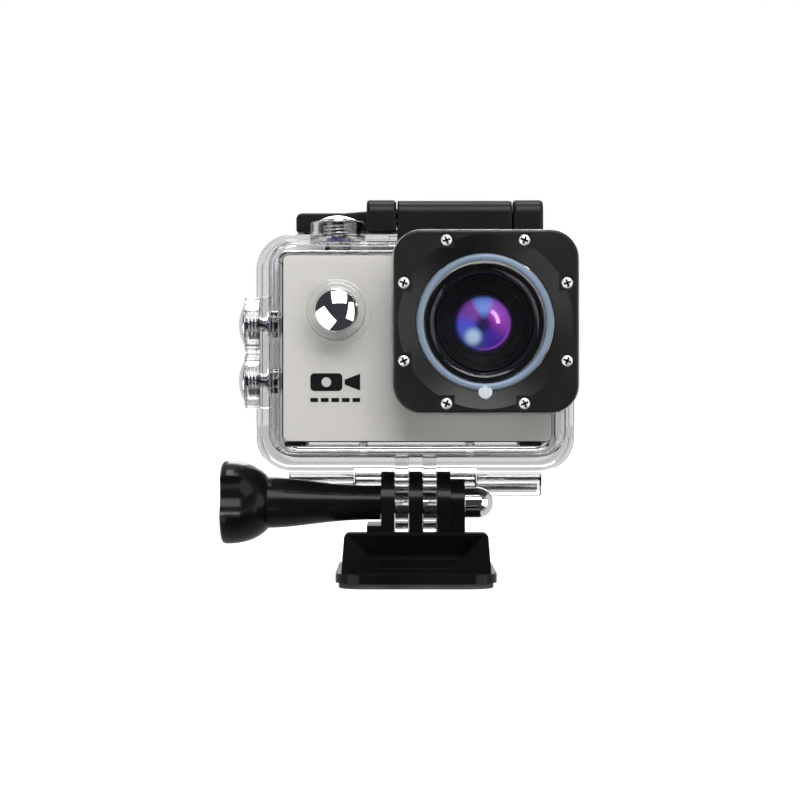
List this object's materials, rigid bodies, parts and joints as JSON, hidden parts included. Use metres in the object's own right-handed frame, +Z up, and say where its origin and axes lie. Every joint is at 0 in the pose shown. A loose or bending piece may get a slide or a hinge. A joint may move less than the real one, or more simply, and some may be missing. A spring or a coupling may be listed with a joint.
{
  "type": "action camera",
  "caption": "Compact action camera in a clear waterproof dive housing, tilting on a pronged clamp mount with a thumb screw and an adhesive base.",
  "frame": {"origin": "centre of the adhesive pad's underside", "axes": "+X to the right seen from in front of the lens, +Y to the back (the lens looks along -Y), +Z up"},
  "size_m": [0.0795, 0.0467, 0.0851],
  "materials": {
    "black_satin": "fine satin moulding texture",
    "latch_black": "satin, smooth",
    "bezel_black": "fine satin",
    "adhesive_foam": "matt foam",
    "chrome": "polished",
    "steel": "bright",
    "clear_plastic": "polished, see-through",
    "window_glass": "polished, clear",
    "blue_seal": "smooth blue-grey silicone",
    "white_rubber": "smooth silicone",
    "dark_rubber": "smooth",
    "silver_lacquer": "warm silver lacquer with a fine grain",
    "camera_black": "fine satin",
    "screen_black": "polished",
    "screen_metal": "satin",
    "print_black": "printed ink",
    "lens_gloss": "polished",
    "lens_matte": "matt",
    "lens_glass": "coated, violet and blue reflections",
    "sensor": "polished",
    "board_green": "solder mask",
    "battery_wrap": "film",
    "card_black": "satin"
  },
  "bodies": {
    "base": {"base_mount": "black_satin", "adhesive_pad": "adhesive_foam", "mount_buckle": "black_satin", "cap_nut": "chrome"},
    "housing": {"front_shell": "clear_plastic", "window_glass": "window_glass", "window_seal": "blue_seal", "lens_bezel": "bezel_black", "bezel_screws": "steel", "latch_block": "latch_black", "latch_block_screws": "steel", "latch_pin": "steel", "hinge_pin": "steel", "button_seals": "dark_rubber", "front_button_spring": "steel", "top_button_spring": "steel", "upper_side_spring": "steel", "lower_side_spring": "steel", "camera_front_panel": "silver_lacquer", "camera_frame": "camera_black", "camera_back_cover": "camera_black", "camera_screen": "screen_black", "screen_panel": "screen_metal", "panel_print": "print_black", "lens_trim_ring": "lens_gloss", "lens_barrel": "lens_matte", "front_lens": "lens_glass", "rear_lens": "lens_glass", "lens_holder": "lens_matte", "image_sensor": "sensor", "main_board": "board_green", "battery": "battery_wrap", "battery_door": "camera_black", "memory_card": "card_black", "speaker": "steel", "port_block": "steel", "camera_screws": "steel"},
    "left_clip": {"clip_left": "black_satin"},
    "right_clip": {"clip_right": "black_satin"},
    "thumb_screw": {"thumb_knob": "black_satin", "thumb_bolt": "steel"},
    "door": {"back_door": "clear_plastic", "door_gasket": "white_rubber", "door_pads": "dark_rubber"},
    "latch": {"latch_lever": "latch_black"},
    "front_push": {"front_button": "chrome", "front_button_clip": "steel"},
    "top_push": {"top_button": "chrome", "top_button_clip": "steel"},
    "upper_push": {"upper_side_button": "chrome", "upper_side_clip": "steel"},
    "lower_push": {"lower_side_button": "chrome", "lower_side_clip": "steel"},
    "power_press": {"power_key": "silver_lacquer"},
    "shutter_press": {"shutter_key": "silver_lacquer"},
    "upper_press": {"upper_side_key": "camera_black"},
    "lower_press": {"lower_side_key": "camera_black"}
  },
  "joints": [
    {"name": "tilt", "type": "hinge", "parent": "base", "child": "housing", "pos_m": [0, 0, 0.01775], "axis": [1, 0, 0], "range_deg": [-33, 55]},
    {"name": "thumb_screw_turn", "type": "hinge", "parent": "base", "child": "thumb_screw", "pos_m": [0, 0, 0.01775], "axis": [1, 0, 0], "continuous": true},
    {"name": "latch_lift", "type": "hinge", "parent": "housing", "child": "latch", "pos_m": [0.0087, -0.003, 0.0822], "axis": [1, 0, 0], "range_deg": [0, 150]},
    {"name": "door_swing", "type": "hinge", "parent": "housing", "child": "door", "pos_m": [0, 0.014, 0.0209], "axis": [-1, 0, 0], "range_deg": [0, 93]},
    {"name": "left_clip_squeeze", "type": "hinge", "parent": "base", "child": "left_clip", "pos_m": [-0.0105, 0, 0.0055], "axis": [0, 0, -1], "range_deg": [0, 6], "stiffness_Nm_per_rad": 1.2},
    {"name": "right_clip_squeeze", "type": "hinge", "parent": "base", "child": "right_clip", "pos_m": [0.0105, 0, 0.0055], "axis": [0, 0, 1], "range_deg": [0, 6], "stiffness_Nm_per_rad": 1.2},
    {"name": "front_button_press", "type": "slide", "parent": "housing", "child": "front_push", "axis": [0, 1, 0], "range_m": [0, 0.001], "stiffness_N_per_m": 1500, "springref_m": -0.0008, "deforming": ["front_button_spring"]},
    {"name": "top_button_press", "type": "slide", "parent": "housing", "child": "top_push", "axis": [0, 0, -1], "range_m": [0, 0.0012], "stiffness_N_per_m": 1500, "springref_m": -0.0008, "deforming": ["top_button_spring"]},
    {"name": "upper_side_button_press", "type": "slide", "parent": "housing", "child": "upper_push", "axis": [1, 0, 0], "range_m": [0, 0.0012], "stiffness_N_per_m": 1500, "springref_m": -0.0008, "deforming": ["upper_side_spring"]},
    {"name": "lower_side_button_press", "type": "slide", "parent": "housing", "child": "lower_push", "axis": [1, 0, 0], "range_m": [0, 0.0012], "stiffness_N_per_m": 1500, "springref_m": -0.0008, "deforming": ["lower_side_spring"]},
    {"name": "power_key_press", "type": "slide", "parent": "housing", "child": "power_press", "axis": [0, 1, 0], "range_m": [0, 0.0011]},
    {"name": "shutter_key_press", "type": "slide", "parent": "housing", "child": "shutter_press", "axis": [0, 0, -1], "range_m": [0, 0.0011]},
    {"name": "upper_side_key_press", "type": "slide", "parent": "housing", "child": "upper_press", "axis": [1, 0, 0], "range_m": [0, 0.0011]},
    {"name": "lower_side_key_press", "type": "slide", "parent": "housing", "child": "lower_press", "axis": [1, 0, 0], "range_m": [0, 0.0011]}
  ],
  "couplings": [
    {"joint": "door_swing", "follows": "latch_lift", "ratio": 0.62},
    {"joint": "power_key_press", "follows": "front_button_press", "ratio": 0.9},
    {"joint": "shutter_key_press", "follows": "top_button_press", "ratio": 0.9},
    {"joint": "upper_side_key_press", "follows": "upper_side_button_press", "ratio": 0.9},
    {"joint": "lower_side_key_press", "follows": "lower_side_button_press", "ratio": 0.9}
  ]
}
